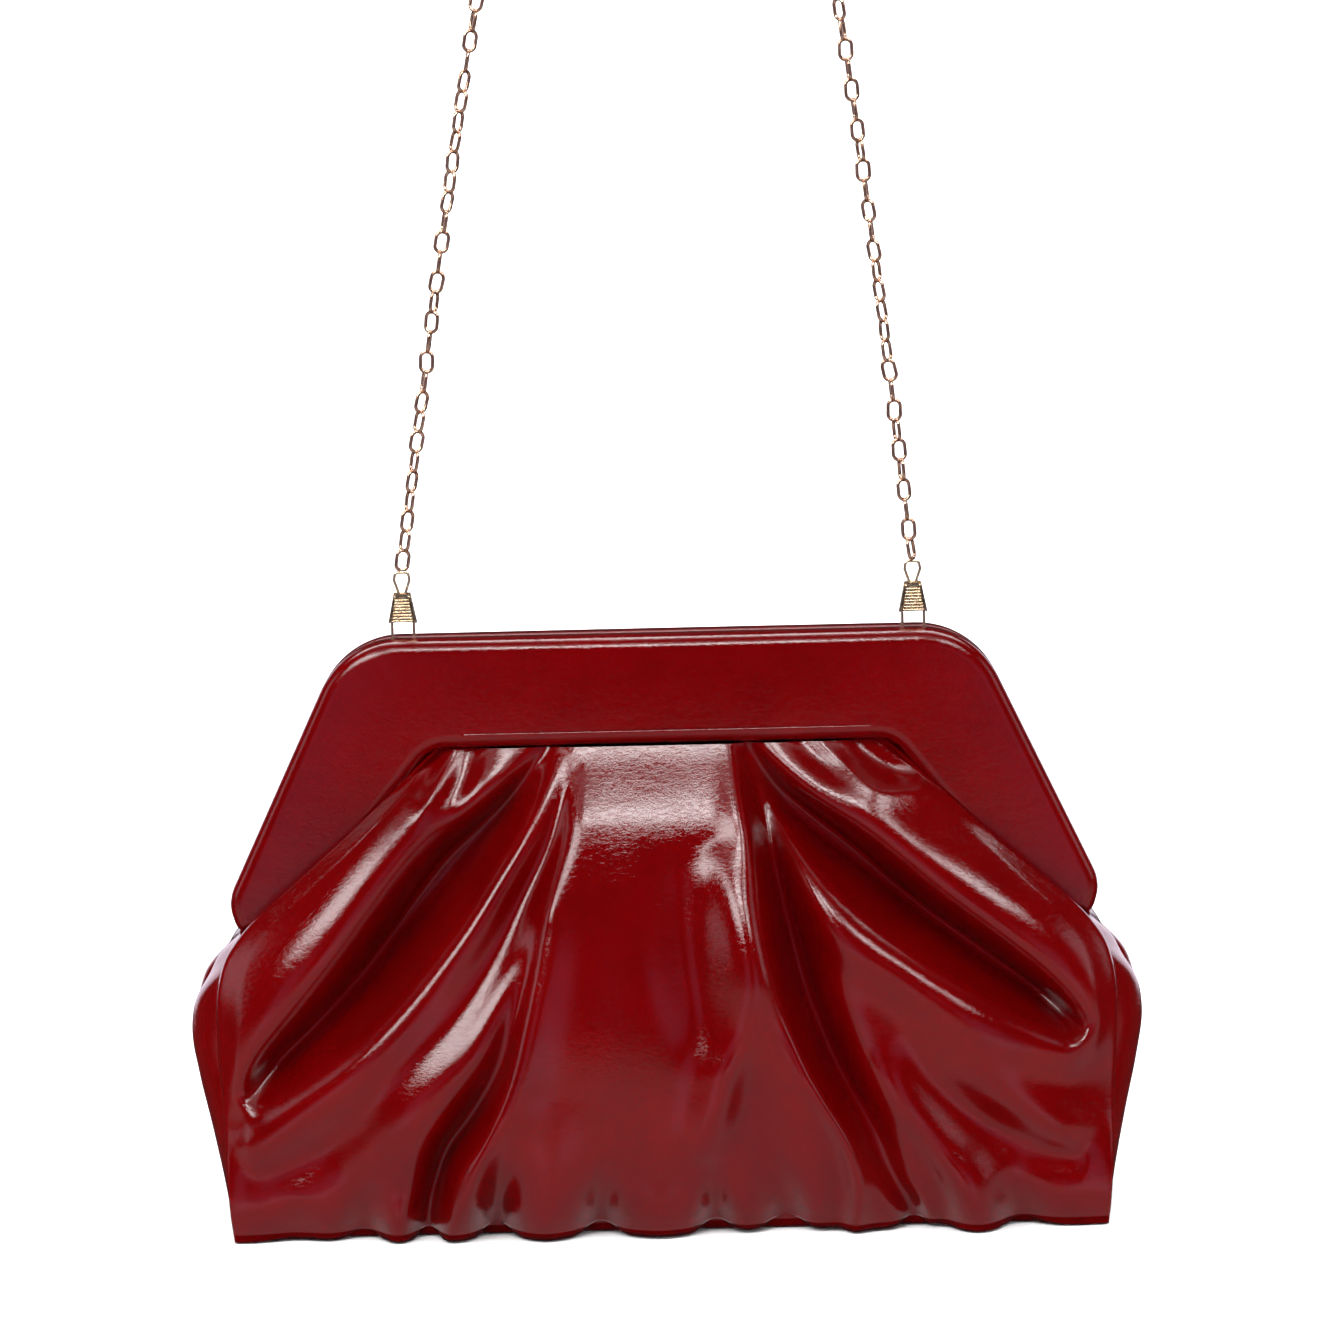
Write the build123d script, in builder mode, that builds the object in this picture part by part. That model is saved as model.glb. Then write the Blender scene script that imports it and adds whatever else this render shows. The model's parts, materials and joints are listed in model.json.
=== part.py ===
from build123d import *
import os
from math import pi, radians, tan

# Gathered clutch purse with a hinged, covered frame and a chain strap.
# Millimetres. The origin is on the ground under the bag's middle; +X is the wearer's
# view to the right, +Y goes from front to back and +Z is up. The front faces -Y.

# Frame
FRAME_TOP = 175.0
FRAME_TOP_HALF = 93.0  # half the top bar, to the sharp corner of side and top
FRAME_SHOULDER_HALF = 129.5
FRAME_SHOULDER_Z = 98.0
FRAME_FOOT_HALF = 126.5
FRAME_FOOT_INNER = 110.5
FRAME_FOOT_Z = 88.0
FRAME_BAR_HALF = 68.0  # half the bar's lower edge
FRAME_BAR_Z = 142.5
FRAME_RADII = [26.0, 26.0, 12.0, 5.0, 5.0, 10.0, 10.0, 5.0, 5.0, 12.0]
HALF_THICK = 10.0  # each half, front to back
MID_GAP = 1.0  # from the middle plane to each half
COVER_WALL = 1.0
FACING_THICK = 1.0
FOAM_THICK = 2.0
COVER_ROUND = 3.2
FOAM_INSET = 3.4
FIT = 0.15  # between pieces that lie against each other

# Hinge at the foot of each arm
HINGE_Z = 93.0
HINGE_X = 118.5
PIN_R = 0.9
PIN_BORE_R = 0.95
KNUCKLE_R = 1.9
KNUCKLE_ROOM_R = 2.5
KNUCKLE_LONG = 3.8
KNUCKLE_STEP = 4.2
FRONT_STEPS = [0.0]  # the knuckles' places along each pin
BACK_STEPS = [-KNUCKLE_STEP, KNUCKLE_STEP]
KNUCKLE_ROOM_HALF = 7.1  # half the slot that the knuckles turn in
PIN_HALF = 6.6
PIN_HEAD_R = 1.5
PIN_HEAD_THICK = 0.3
LEAF_THICK = 0.8
LEAF_TOP = 104.0
LEAF_LOW = 96.4
LEAF_HALF = 5.0
NECK_TOP_GAP = 0.1  # the knuckle's neck runs this far over the leaf's lower edge
NECK_INNER_Y = 0.6
NECK_INNER_UP = 1.8
NECK_OUTER_Y = 1.7
NECK_OUTER_DOWN = 0.4
FOOT_RELIEF = 30.0  # degrees; the feet slope away from each other below the pin
FOOT_REACH = 12.0
THROUGH = 300.0  # longer than the bag is wide

# Magnets in the top bar
MAGNET_R = 7.0
MAGNET_THICK = 2.5
MAGNET_X = 38.0
MAGNET_Z = 159.0

# Bag. Each section: height, half width, half depth, corner radius, and which way
# its height moves with an inset (floor up, shoulder down).
SECTIONS = [
    (0.0, 126.0, 33.0, 12.0, 1.0),
    (10.0, 132.0, 40.0, 16.0, 0.0),
    (40.0, 139.0, 44.5, 20.0, 0.0),
    (61.0, 138.0, 44.0, 20.0, -0.6),
    (75.0, 131.0, 41.0, 18.0, -0.9),
    (80.5, 106.0, 39.0, 18.0, -0.9),
    (110.0, 91.5, 28.0, 14.0, 0.0),
    (128.0, 77.5, 16.0, 9.0, 0.0),
    (143.0, 66.0, 8.2, 6.5, 0.0),
]
MIN_CORNER = 0.8
BAG_TOP = 141.6
PANEL_THICK = 1.6
LINING_INSET = 3.6
LINING_THICK = 0.8
POCKET_INSET = 4.6
POCKET_THICK = 0.6
POCKET_HALF = 60.0
POCKET_LOW = 20.0
POCKET_HIGH = 76.0
SEAM_Y_TOP = 1.0  # the gusset's seams start here, at the frame's feet
SEAM_Y_FLOOR = 31.0  # and end here, on the ground
SEAM_GAP = 0.1
BOARD_HALF_X = 119.0
BOARD_HALF_Y = 26.5
BOARD_THICK = 1.6
BOARD_CORNER = 8.0

# Strap posts and clips
CLIP_X = 75.5
POST_Z = 167.0
POST_R = 2.6
POST_SHANK_R = 1.5
POST_END = 7.0  # how far behind the middle plane the shank ends
POST_COLLAR_END = 0.9  # the collar stands in the gap, from here to just in front
POST_COLLAR_FRONT = 0.5
POST_HEAD_R = 4.2
POST_HEAD_THICK = 0.35
WIRE_R = 0.45
LEG_HALF = 3.2
NECK_HALF = 1.05
EYE_HALF = 2.3
LEG_TOP = 179.6
NECK_Z = 188.2
EYE_Z = 191.8
EYE_TOP = 194.05
EYE_TAPER = 0.4
WIRE_BENDS = [3.136, 4.0, 1.6, 1.2, 1.2]  # bend radii from the hook up to the eye
PLATE_LOW = 179.2
PLATE_HIGH = 188.0
PLATE_LOW_HALF = 3.1
PLATE_HIGH_HALF = 1.7
CHANNEL_LOW_HALF = 4.25
CHANNEL_HIGH_HALF = 2.45
CHANNEL_WALL = 0.4
CHANNEL_BACK = 1.3
LEVER_FRONT = 2.3
LEVER_THICK = 0.5
LEVER_LOW_HALF = 3.4
LEVER_END_GAP = 0.2
LEVER_PIN_R = 0.35
LEVER_PIN_Y = 1.6  # in front of the middle plane
LEVER_PIN_Z = 186.9
LEVER_PIN_FIT = 0.05
LEVER_PIN_HALF = 2.55
LUG_R = 0.75
LUG_HALF = 0.9
RIBS = 8
RIB_R = 0.28
RIB_FIRST = 0.6  # from the plate's lower edge
SPRING_Y = 0.7
SPRING_Z = 182.8
SPRING_WIDE = 1.8
SPRING_HIGH = 6.0
SPRING_THICK = 0.2

# Chain strap, held up taut, a little right of the middle; its two strands meet in an arch
CHAIN_DIAMETER = 4.8
CHAIN_BEND_SHARE = 0.45  # how much of its shorter run each bend takes up
CHAIN_ROUTE = [
    (-75.5, 0.0, 194.7),
    (-49.5, 0.0, 372.0),
    (-34.0, 0.0, 406.0),
    (4.5, 0.0, 422.0),
    (43.0, 0.0, 406.0),
    (57.5, 0.0, 372.0),
    (75.5, 0.0, 194.7),
]

SIDES = {"left": -1.0, "right": 1.0}


def save(piece, name):
    piece.part.label = name
    export_step(piece.part, f"parts/{name}.step")


def outline_points():
    right = [
        (FRAME_TOP_HALF, FRAME_TOP),
        (FRAME_SHOULDER_HALF, FRAME_SHOULDER_Z),
        (FRAME_FOOT_HALF, FRAME_FOOT_Z),
        (FRAME_FOOT_INNER, FRAME_FOOT_Z),
        (FRAME_BAR_HALF, FRAME_BAR_Z),
    ]
    left = [(-x, z) for x, z in reversed(right)]
    return [left[-1]] + right + left[:-1]


def frame_plate(y_near, y_far, inset):
    """A plate with the frame's outline, between two distances in front of the middle plane."""
    with BuildPart() as plate:
        with BuildSketch(Plane.XZ.offset(y_near)):
            with BuildLine():
                FilletPolyline(*outline_points(), radius=FRAME_RADII, close=True)
            make_face()
            if inset:
                offset(amount=-inset)
        extrude(amount=y_far - y_near)
    return plate.part


def foot_relief():
    """The wedges under the hinge line that let the feet pass each other."""
    spread = FOOT_REACH * tan(radians(FOOT_RELIEF))
    low = HINGE_Z - FOOT_REACH
    with BuildPart() as wedge:
        with BuildSketch(Plane.YZ.offset(-THROUGH / 2)):
            with BuildLine():
                Polyline((0, HINGE_Z), (-spread, low), (spread, low), close=True)
            make_face()
        extrude(amount=THROUGH)
    return wedge.part


def knuckle_room():
    """The slots that the hinge knuckles and pins turn in."""
    with BuildPart() as room:
        for side in SIDES.values():
            with BuildSketch(Plane.YZ.offset(side * HINGE_X - KNUCKLE_ROOM_HALF)):
                with Locations((0, HINGE_Z)):
                    Circle(KNUCKLE_ROOM_R)
            extrude(amount=2 * KNUCKLE_ROOM_HALF)
    return room.part


def magnet_discs(grow):
    """The two front magnets, or their pockets when grown."""
    near = MID_GAP + FACING_THICK + FIT
    with BuildPart() as discs:
        with BuildSketch(Plane.XZ.offset(near - grow)):
            with Locations((-MAGNET_X, MAGNET_Z), (MAGNET_X, MAGNET_Z)):
                Circle(MAGNET_R + grow)
        extrude(amount=MAGNET_THICK + 2 * grow)
    return discs.part


def leaf_shape(side, steps, grow):
    """A front hinge leaf: a strip up the arm, and knuckles round the pin at given steps along X."""
    near = -(MID_GAP + FACING_THICK + FIT) + grow
    far = near - LEAF_THICK - 2 * grow
    low = LEAF_LOW - grow
    high = LEAF_TOP + grow
    neck_top = LEAF_LOW + NECK_TOP_GAP + grow
    with BuildPart() as leaf:
        with BuildSketch(Plane.YZ.offset(side * HINGE_X - LEAF_HALF - grow)):
            with BuildLine():
                Polyline((near, low), (near, high), (far, high), (far, low), close=True)
            make_face()
        extrude(amount=2 * (LEAF_HALF + grow))
        for step in steps:
            with BuildSketch(Plane.YZ.offset(side * HINGE_X + step - KNUCKLE_LONG / 2 - grow)):
                with Locations((0, HINGE_Z)):
                    Circle(KNUCKLE_R + grow)
                with BuildLine():
                    Polyline(
                        (-NECK_INNER_Y, HINGE_Z + NECK_INNER_UP + grow),
                        (near, neck_top),
                        (far, neck_top),
                        (-NECK_OUTER_Y - grow, HINGE_Z - NECK_OUTER_DOWN),
                        close=True,
                    )
                make_face()
            extrude(amount=KNUCKLE_LONG + 2 * grow)
        if not grow:
            with BuildSketch(Plane.YZ.offset(side * HINGE_X - KNUCKLE_ROOM_HALF)):
                with Locations((0, HINGE_Z)):
                    Circle(PIN_BORE_R)
            extrude(amount=2 * KNUCKLE_ROOM_HALF, mode=Mode.SUBTRACT)
    return leaf.part


def post_holes():
    """The holes in the back half that hold the strap posts' shanks."""
    with BuildPart() as holes:
        with BuildSketch(Plane.XZ.offset(-POST_END - 2 * FIT)):
            with Locations((-CLIP_X, POST_Z), (CLIP_X, POST_Z)):
                Circle(POST_SHANK_R + FIT)
        extrude(amount=POST_END)
    return holes.part


def make_frame_half(name, back):
    """Cover, foam, core, facing, magnets and hinge leaves of one half."""
    cover_far = MID_GAP + HALF_THICK
    core_near = MID_GAP + FACING_THICK + FIT
    foam_far = cover_far - COVER_WALL - FIT
    core_far = foam_far - FOAM_THICK
    steps = BACK_STEPS if back else FRONT_STEPS

    with BuildPart() as cover:
        add(frame_plate(MID_GAP, cover_far, 0))
        fillet(cover.faces().sort_by(Axis.Y)[0].edges(), radius=COVER_ROUND)
        add(frame_plate(0, cover_far - COVER_WALL, COVER_WALL), mode=Mode.SUBTRACT)
        add(foot_relief(), mode=Mode.SUBTRACT)
        add(knuckle_room(), mode=Mode.SUBTRACT)

    with BuildPart() as foam:
        add(frame_plate(core_far, foam_far, FOAM_INSET))

    with BuildPart() as core:
        add(frame_plate(core_near, core_far - FIT, COVER_WALL + FIT))
        add(foot_relief(), mode=Mode.SUBTRACT)
        add(knuckle_room(), mode=Mode.SUBTRACT)
        add(magnet_discs(FIT), mode=Mode.SUBTRACT)
        for side in SIDES.values():
            add(leaf_shape(side, steps, FIT), mode=Mode.SUBTRACT)

    with BuildPart() as facing:
        add(frame_plate(MID_GAP, MID_GAP + FACING_THICK, COVER_WALL + FIT))
        add(foot_relief(), mode=Mode.SUBTRACT)
        add(knuckle_room(), mode=Mode.SUBTRACT)
        for side in SIDES.values():
            add(leaf_shape(side, steps, FIT), mode=Mode.SUBTRACT)

    with BuildPart() as magnets:
        add(magnet_discs(0))

    pieces = {"cover": cover, "foam": foam, "core": core, "facing": facing, "magnets": magnets}
    for label, side in SIDES.items():
        with BuildPart() as leaf:
            add(leaf_shape(side, steps, 0))
        pieces[f"hinge_leaf_{label}"] = leaf

    for label, piece in pieces.items():
        with BuildPart() as placed:
            add(piece.part)
            if back:
                mirror(about=Plane.XZ, mode=Mode.REPLACE)
                if label in ("facing", "core"):
                    add(post_holes(), mode=Mode.SUBTRACT)
        owner = name if label == "magnets" or label.startswith("hinge") else f"{name}_frame"
        save(placed, f"{owner}_{label}")


def make_hinge_pins():
    for label, side in SIDES.items():
        with BuildPart() as pin:
            with BuildSketch(Plane.YZ.offset(side * HINGE_X - PIN_HALF)):
                with Locations((0, HINGE_Z)):
                    Circle(PIN_R)
            extrude(amount=2 * PIN_HALF)
            for end in (-PIN_HALF, PIN_HALF - PIN_HEAD_THICK):
                with BuildSketch(Plane.YZ.offset(side * HINGE_X + end)):
                    with Locations((0, HINGE_Z)):
                        Circle(PIN_HEAD_R)
                extrude(amount=PIN_HEAD_THICK)
        save(pin, f"hinge_pin_{label}")


def bag_envelope(inset):
    """The filled bag, shrunk by an inset."""
    with BuildPart() as envelope:
        for z, half_x, half_y, radius, lift in SECTIONS:
            with BuildSketch(Plane.XY.offset(z + lift * inset)):
                corner = max(radius - inset, MIN_CORNER)
                RectangleRounded(2 * (half_x - inset), 2 * (half_y - inset), corner)
        loft(ruled=True)
    return envelope.part


def seam_plane(facing):
    """The sloping plane of a gusset seam: facing is -1 for the front seam, +1 for the back."""
    run = SEAM_Y_FLOOR - SEAM_Y_TOP
    normal = (0, facing * FRAME_FOOT_Z, run)
    return Plane(origin=(0, facing * SEAM_Y_TOP, FRAME_FOOT_Z), x_dir=(1, 0, 0), z_dir=normal)


def make_bag():
    with BuildPart() as wall:
        add(bag_envelope(0))
        add(bag_envelope(PANEL_THICK), mode=Mode.SUBTRACT)
        split(bisect_by=Plane.XY.offset(BAG_TOP), keep=Keep.BOTTOM)

    for name, facing in (("bag_front_panel", -1), ("bag_back_panel", 1)):
        seam = seam_plane(facing)
        with BuildPart() as panel:
            add(wall.part)
            split(bisect_by=seam.offset(SEAM_GAP), keep=Keep.TOP)
            middle = Plane.XZ.offset(-facing * SEAM_Y_TOP)
            split(bisect_by=middle, keep=Keep.TOP if facing < 0 else Keep.BOTTOM)
        save(panel, name)

    for label, side in SIDES.items():
        with BuildPart() as gusset:
            add(wall.part)
            for facing in (-1, 1):
                split(bisect_by=seam_plane(facing), keep=Keep.BOTTOM)
            split(bisect_by=Plane.YZ, keep=Keep.TOP if side > 0 else Keep.BOTTOM)
            split(bisect_by=Plane.XY.offset(PANEL_THICK + SEAM_GAP), keep=Keep.TOP)
        save(gusset, f"side_gusset_{label}")

    with BuildPart() as base:
        add(wall.part)
        for facing in (-1, 1):
            split(bisect_by=seam_plane(facing), keep=Keep.BOTTOM)
        split(bisect_by=Plane.XY.offset(PANEL_THICK), keep=Keep.BOTTOM)
    save(base, "base_panel")

    with BuildPart() as board:
        with BuildSketch(Plane.XY.offset(PANEL_THICK + FIT)):
            RectangleRounded(2 * BOARD_HALF_X, 2 * BOARD_HALF_Y, BOARD_CORNER)
        extrude(amount=BOARD_THICK)
    save(board, "base_board")

    with BuildPart() as lining:
        add(bag_envelope(LINING_INSET))
        add(bag_envelope(LINING_INSET + LINING_THICK), mode=Mode.SUBTRACT)
        split(bisect_by=Plane.XY.offset(BAG_TOP), keep=Keep.BOTTOM)
        with Locations((0, 0, BAG_TOP)):
            Box(THROUGH, 2 * SEAM_Y_TOP, 2 * (BAG_TOP - FRAME_FOOT_Z), mode=Mode.SUBTRACT)
    save(lining, "lining")

    with BuildPart() as pocket:
        add(bag_envelope(POCKET_INSET))
        add(bag_envelope(POCKET_INSET + POCKET_THICK), mode=Mode.SUBTRACT)
        split(bisect_by=Plane.XY.offset(POCKET_LOW), keep=Keep.TOP)
        split(bisect_by=Plane.XY.offset(POCKET_HIGH), keep=Keep.BOTTOM)
        split(bisect_by=Plane.XZ, keep=Keep.BOTTOM)
        split(bisect_by=Plane.YZ.offset(-POCKET_HALF), keep=Keep.TOP)
        split(bisect_by=Plane.YZ.offset(POCKET_HALF), keep=Keep.BOTTOM)
    save(pocket, "lining_pocket")


def make_strap_posts():
    """Studs on the back half, with a collar and head in the gap, that the clips hook round."""
    sections = [
        (-POST_END, POST_SHANK_R, POST_END - POST_COLLAR_END),
        (-POST_COLLAR_END, POST_R, POST_COLLAR_END + POST_COLLAR_FRONT),
        (POST_COLLAR_FRONT, POST_HEAD_R, POST_HEAD_THICK),
    ]
    for label, side in SIDES.items():
        with BuildPart() as post:
            for start, radius, run in sections:
                with BuildSketch(Plane.XZ.offset(start)):
                    with Locations((side * CLIP_X, POST_Z)):
                        Circle(radius)
                extrude(amount=run)
        save(post, f"strap_post_{label}")


def wire_route(x):
    """Half of a clip's wire, from the bottom of its hook round to the top of its eye."""
    return [
        (x, 0, POST_Z - LEG_HALF),
        (x + LEG_HALF, 0, POST_Z - LEG_HALF),
        (x + LEG_HALF, 0, LEG_TOP),
        (x + NECK_HALF, 0, NECK_Z),
        (x + EYE_HALF, 0, EYE_Z),
        (x + EYE_HALF - EYE_TAPER, 0, EYE_TOP),
        (x, 0, EYE_TOP),
    ]


def make_clip(label, x):
    with BuildPart() as wire:
        with BuildLine() as path:
            FilletPolyline(*wire_route(x), radius=WIRE_BENDS)
        with BuildSketch(Plane(origin=(x, 0, POST_Z - LEG_HALF), z_dir=(1, 0, 0))):
            Circle(WIRE_R)
        sweep(path=path.wire())
        mirror(about=Plane.YZ.offset(x))
    save(wire, f"clip_{label}_wire")

    inner_low = CHANNEL_LOW_HALF - CHANNEL_WALL
    inner_high = CHANNEL_HIGH_HALF - CHANNEL_WALL
    with BuildPart() as body:
        with BuildSketch(Plane.XZ.offset(-CHANNEL_BACK)):
            with BuildLine():
                Polyline(
                    (x - CHANNEL_LOW_HALF, PLATE_LOW),
                    (x + CHANNEL_LOW_HALF, PLATE_LOW),
                    (x + CHANNEL_HIGH_HALF, PLATE_HIGH),
                    (x - CHANNEL_HIGH_HALF, PLATE_HIGH),
                    close=True,
                )
            make_face()
        extrude(amount=CHANNEL_BACK + LEVER_FRONT)
        with BuildSketch(Plane.XZ.offset(-CHANNEL_BACK + CHANNEL_WALL)):
            with BuildLine():
                Polyline(
                    (x - inner_low, PLATE_LOW - 1),
                    (x + inner_low, PLATE_LOW - 1),
                    (x + inner_high, PLATE_HIGH + 1),
                    (x - inner_high, PLATE_HIGH + 1),
                    close=True,
                )
            make_face()
        extrude(amount=THROUGH, mode=Mode.SUBTRACT)
        with BuildSketch(Plane.YZ.offset(x - CHANNEL_LOW_HALF)):
            with Locations((-LEVER_PIN_Y, LEVER_PIN_Z)):
                Circle(LEVER_PIN_R)
        extrude(amount=2 * CHANNEL_LOW_HALF, mode=Mode.SUBTRACT)
    save(body, f"clip_{label}_body")

    with BuildPart() as lever:
        with BuildSketch(Plane.XZ.offset(LEVER_FRONT - LEVER_THICK)):
            with BuildLine():
                Polyline(
                    (x - LEVER_LOW_HALF, PLATE_LOW + LEVER_END_GAP),
                    (x + LEVER_LOW_HALF, PLATE_LOW + LEVER_END_GAP),
                    (x + PLATE_HIGH_HALF, PLATE_HIGH - LEVER_END_GAP),
                    (x - PLATE_HIGH_HALF, PLATE_HIGH - LEVER_END_GAP),
                    close=True,
                )
            make_face()
        extrude(amount=LEVER_THICK)
        pitch = (LEVER_PIN_Z - PLATE_LOW - RIB_FIRST) / RIBS
        for rib in range(RIBS):
            z = PLATE_LOW + RIB_FIRST + rib * pitch
            part_way = (z - PLATE_LOW) / (PLATE_HIGH - PLATE_LOW)
            half = PLATE_LOW_HALF + (PLATE_HIGH_HALF - PLATE_LOW_HALF) * part_way
            with BuildSketch(Plane.YZ.offset(x - half)):
                with Locations((-LEVER_FRONT, z)):
                    Circle(RIB_R)
            extrude(amount=2 * half)
        with BuildSketch(Plane.YZ.offset(x - LUG_HALF)):
            with Locations((-LEVER_PIN_Y, LEVER_PIN_Z)):
                Circle(LUG_R)
        extrude(amount=2 * LUG_HALF)
        with BuildSketch(Plane.YZ.offset(x - CHANNEL_LOW_HALF)):
            with Locations((-LEVER_PIN_Y, LEVER_PIN_Z)):
                Circle(LEVER_PIN_R + LEVER_PIN_FIT)
        extrude(amount=2 * CHANNEL_LOW_HALF, mode=Mode.SUBTRACT)
    save(lever, f"clip_{label}_lever")

    with BuildPart() as pin:
        with BuildSketch(Plane.YZ.offset(x - LEVER_PIN_HALF)):
            with Locations((-LEVER_PIN_Y, LEVER_PIN_Z)):
                Circle(LEVER_PIN_R)
        extrude(amount=2 * LEVER_PIN_HALF)
    save(pin, f"clip_{label}_pin")

    with BuildPart() as spring:
        with BuildSketch(Plane.XZ.offset(SPRING_Y)):
            with Locations((x, SPRING_Z)):
                Rectangle(SPRING_WIDE, SPRING_HIGH)
        extrude(amount=SPRING_THICK)
    save(spring, f"clip_{label}_spring")


def make_chain():
    points = [Vector(*point) for point in CHAIN_ROUTE]
    corner_radii = []
    for before, at, after in zip(points, points[1:], points[2:]):
        turn = (at - before).get_angle(after - at)
        shorter = min((at - before).length, (after - at).length)
        corner_radii.append(CHAIN_BEND_SHARE * shorter / tan(radians(turn / 2)))
    with BuildPart() as chain:
        with BuildLine() as path:
            FilletPolyline(*points, radius=corner_radii)
        with BuildSketch(Plane(origin=points[0], z_dir=points[1] - points[0])):
            Circle(CHAIN_DIAMETER / 2)
        sweep(path=path.wire())
    length = path.wire().length
    section = pi * CHAIN_DIAMETER**2 / 4
    print("chain corner radii", [round(radius, 1) for radius in corner_radii])
    ratio = chain.part.volume / (section * length)
    print("chain length", round(length, 1), "volume ratio", round(ratio, 4))
    save(chain, "chain_strap")


os.makedirs("parts", exist_ok=True)
make_frame_half("front", back=False)
make_frame_half("back", back=True)
make_hinge_pins()
make_bag()
make_strap_posts()
for clip_label, clip_side in SIDES.items():
    make_clip(clip_label, clip_side * CLIP_X)
make_chain()
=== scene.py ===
import bpy
import bmesh
import json
import math
import random
import numpy as np
from mathutils import Matrix, Vector


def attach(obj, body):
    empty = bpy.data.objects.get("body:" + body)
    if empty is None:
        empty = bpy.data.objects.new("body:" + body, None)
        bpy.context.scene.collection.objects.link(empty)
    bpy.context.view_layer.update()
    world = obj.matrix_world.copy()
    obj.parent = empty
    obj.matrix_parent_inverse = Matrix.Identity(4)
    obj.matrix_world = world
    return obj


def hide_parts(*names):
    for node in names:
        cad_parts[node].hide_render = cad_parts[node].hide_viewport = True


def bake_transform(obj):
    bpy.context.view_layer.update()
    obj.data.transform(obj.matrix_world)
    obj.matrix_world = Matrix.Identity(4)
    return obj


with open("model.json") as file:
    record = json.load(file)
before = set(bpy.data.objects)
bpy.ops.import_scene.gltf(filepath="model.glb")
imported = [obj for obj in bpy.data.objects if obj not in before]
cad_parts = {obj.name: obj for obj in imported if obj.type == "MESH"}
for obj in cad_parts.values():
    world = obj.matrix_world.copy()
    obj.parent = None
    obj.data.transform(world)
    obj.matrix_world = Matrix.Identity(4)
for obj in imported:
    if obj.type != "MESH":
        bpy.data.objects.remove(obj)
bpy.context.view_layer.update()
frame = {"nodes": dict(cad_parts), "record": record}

MM = 0.001
SIDES = {"left": -1.0, "right": 1.0}

# ------------------------------------------------------------------ camera

CAMERA_ELEVATION = 7.0
CAMERA_DISTANCE = 1.412
CAMERA_LENS = 128.0
CAMERA_ROLL = 1.3
SENSOR_WIDTH = 36.0
LOOK_AT = Vector((0.0032, 0.0, 0.1632))


def make_camera():
    data = bpy.data.cameras.new("camera")
    data.lens = CAMERA_LENS
    data.sensor_width = SENSOR_WIDTH
    camera = bpy.data.objects.new("camera", data)
    bpy.context.collection.objects.link(camera)
    tilt = math.radians(CAMERA_ELEVATION)
    back = Vector((0.0, -math.cos(tilt), math.sin(tilt)))
    camera.location = LOOK_AT + back * CAMERA_DISTANCE
    aim = (-back).to_track_quat("-Z", "Y")
    roll = Matrix.Rotation(math.radians(-CAMERA_ROLL), 3, "Z")
    camera.rotation_euler = (aim.to_matrix() @ roll).to_euler()
    bpy.context.scene.camera = camera


make_camera()

# ------------------------------------------------------------------ helpers


def add_object(name, mesh):
    piece = bpy.data.objects.new(name, mesh)
    bpy.context.collection.objects.link(piece)
    return piece


def mesh_from(name, points, faces):
    mesh = bpy.data.meshes.new(name)
    mesh.from_pydata([tuple(p) for p in points], [], faces)
    mesh.validate()
    mesh.update()
    mesh.polygons.foreach_set("use_smooth", [True] * len(mesh.polygons))
    return add_object(name, mesh)


def grid_faces(rows, columns, wrap=False):
    faces = []
    last = columns if wrap else columns - 1
    for row in range(rows - 1):
        for column in range(last):
            right = (column + 1) % columns
            faces.append((
                row * columns + column,
                row * columns + right,
                (row + 1) * columns + right,
                (row + 1) * columns + column,
            ))
    return faces


def apply_modifiers(piece):
    bpy.context.view_layer.update()
    evaluated = piece.evaluated_get(bpy.context.evaluated_depsgraph_get())
    mesh = bpy.data.meshes.new_from_object(evaluated)
    piece.modifiers.clear()
    piece.data = mesh


def smoothstep(low, high, value):
    t = np.clip((value - low) / (high - low), 0.0, 1.0)
    return t * t * (3.0 - 2.0 * t)


# ------------------------------------------------------------------ materials


def new_material(name):
    material = bpy.data.materials.new(name)
    material.use_nodes = True
    nodes = material.node_tree.nodes
    return material, nodes, material.node_tree.links, nodes["Principled BSDF"]


def object_coords(nodes):
    return nodes.new("ShaderNodeTexCoord").outputs["Object"]


def noise(nodes, links, coords, scale, detail=4.0, roughness=0.5, distortion=0.0, stretch=(1, 1, 1)):
    mapping = nodes.new("ShaderNodeMapping")
    mapping.inputs["Scale"].default_value = stretch
    links.new(coords, mapping.inputs["Vector"])
    texture = nodes.new("ShaderNodeTexNoise")
    texture.inputs["Scale"].default_value = scale
    texture.inputs["Detail"].default_value = detail
    texture.inputs["Roughness"].default_value = roughness
    texture.inputs["Distortion"].default_value = distortion
    links.new(mapping.outputs["Vector"], texture.inputs["Vector"])
    return texture.outputs["Fac"]


def ramp(nodes, links, value, stops):
    node = nodes.new("ShaderNodeValToRGB")
    elements = node.color_ramp.elements
    while len(elements) < len(stops):
        elements.new(0.5)
    for element, (position, colour) in zip(elements, stops):
        element.position = position
        element.color = (*colour, 1.0)
    links.new(value, node.inputs["Fac"])
    return node.outputs["Color"]


def bump(nodes, links, height, strength, distance, normal=None):
    node = nodes.new("ShaderNodeBump")
    node.inputs["Strength"].default_value = strength
    node.inputs["Distance"].default_value = distance
    links.new(height, node.inputs["Height"])
    if normal is not None:
        links.new(normal, node.inputs["Normal"])
    return node.outputs["Normal"]


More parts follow.
